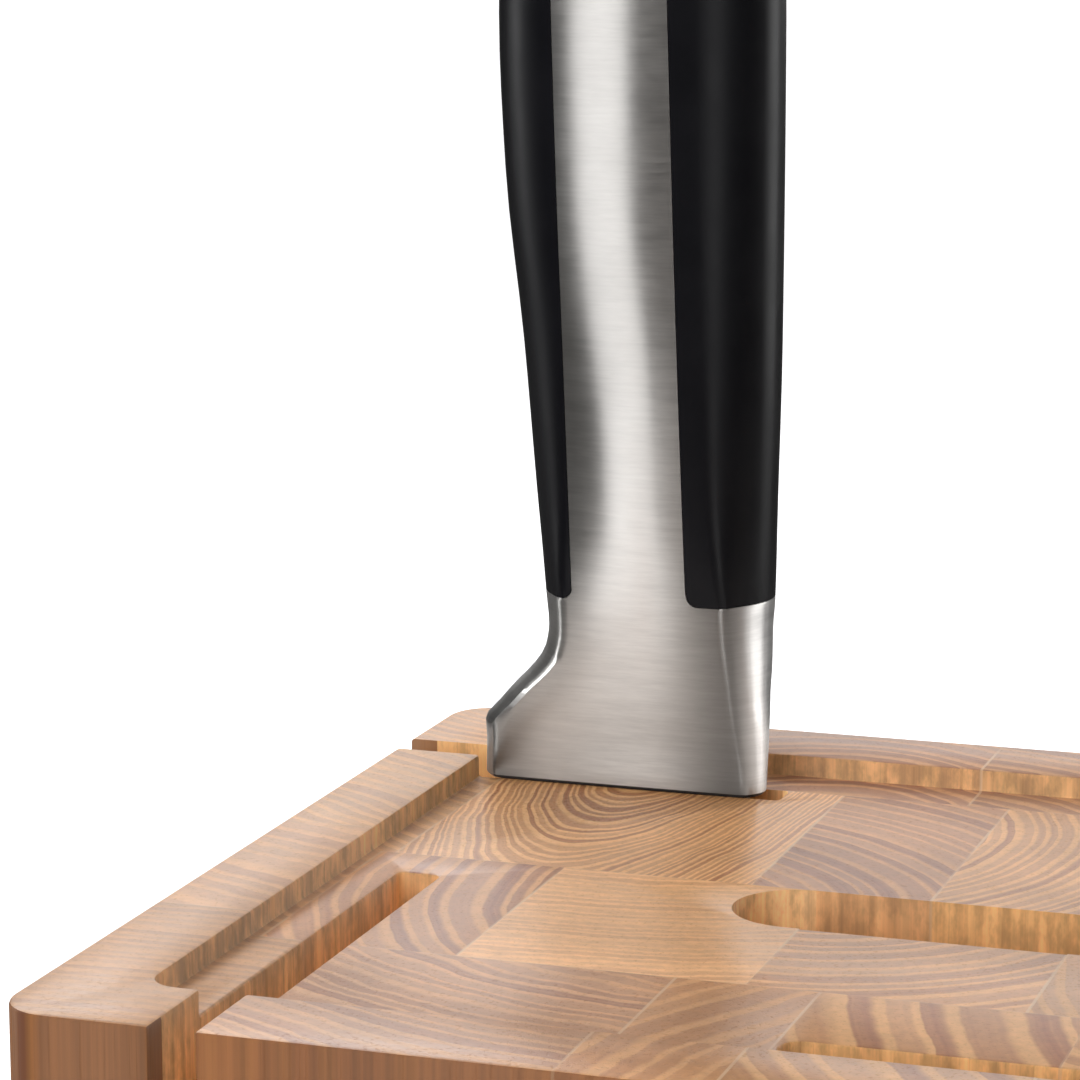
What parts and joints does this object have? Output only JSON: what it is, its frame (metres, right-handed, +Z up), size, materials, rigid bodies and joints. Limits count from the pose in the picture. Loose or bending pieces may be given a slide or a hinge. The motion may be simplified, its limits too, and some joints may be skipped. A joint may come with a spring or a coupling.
{
  "type": "knife block with knives",
  "caption": "Square upright block of end-grain wood staves with a raised rim, edge slots open at the sides, a wide middle slot, and lift-out knives with steel and black handles.",
  "frame": {"origin": "centre of the block's base, at table height under the feet", "axes": "+Z up, the blades draw out along +Z; -Y is the front, +X is the block's right side seen from the front"},
  "size_m": [0.12, 0.12, 0.3546],
  "materials": {
    "end_grain_wood": "oiled satin, end grain on top",
    "plate_wood": "oiled satin",
    "handle_steel": "fine cross-brushed satin",
    "blade_steel": "lengthwise satin",
    "grip_black": "smooth, slightly glossy",
    "screw_steel": "plain",
    "rubber": "matt"
  },
  "bodies": {
    "block": {"stave_front_1": "end_grain_wood", "stave_front_2": "end_grain_wood", "stave_front_3": "end_grain_wood", "stave_front_4": "end_grain_wood", "stave_front_5": "end_grain_wood", "stave_middle_1": "end_grain_wood", "stave_middle_2": "end_grain_wood", "stave_middle_3": "end_grain_wood", "stave_middle_4": "end_grain_wood", "stave_middle_5": "end_grain_wood", "stave_back_1": "end_grain_wood", "stave_back_2": "end_grain_wood", "stave_back_3": "end_grain_wood", "stave_back_4": "end_grain_wood", "stave_back_5": "end_grain_wood", "stave_rear_1": "end_grain_wood", "stave_rear_2": "end_grain_wood", "stave_rear_3": "end_grain_wood", "stave_rear_4": "end_grain_wood", "base_plate": "plate_wood", "foot_front_left": "rubber", "foot_front_right": "rubber", "foot_back_left": "rubber", "foot_back_right": "rubber", "foot_screw_front_left": "screw_steel", "foot_screw_front_right": "screw_steel", "foot_screw_back_left": "screw_steel", "foot_screw_back_right": "screw_steel"},
    "knife_1": {"knife_1_blade": "blade_steel", "knife_1_frame": "handle_steel", "knife_1_spine_grip": "grip_black", "knife_1_belly_grip": "grip_black", "knife_1_cap": "handle_steel", "knife_1_cap_screw": "screw_steel"},
    "knife_2": {"knife_2_blade": "blade_steel", "knife_2_frame": "handle_steel", "knife_2_spine_grip": "grip_black", "knife_2_belly_grip": "grip_black", "knife_2_cap": "handle_steel", "knife_2_cap_screw": "screw_steel"}
  },
  "joints": [
    {"name": "lift_knife_1", "type": "slide", "parent": "block", "child": "knife_1", "axis": [0, 0, 1], "range_m": [0, 0.24]},
    {"name": "lift_knife_2", "type": "slide", "parent": "block", "child": "knife_2", "axis": [0, 0, 1], "range_m": [0, 0.24]}
  ]
}
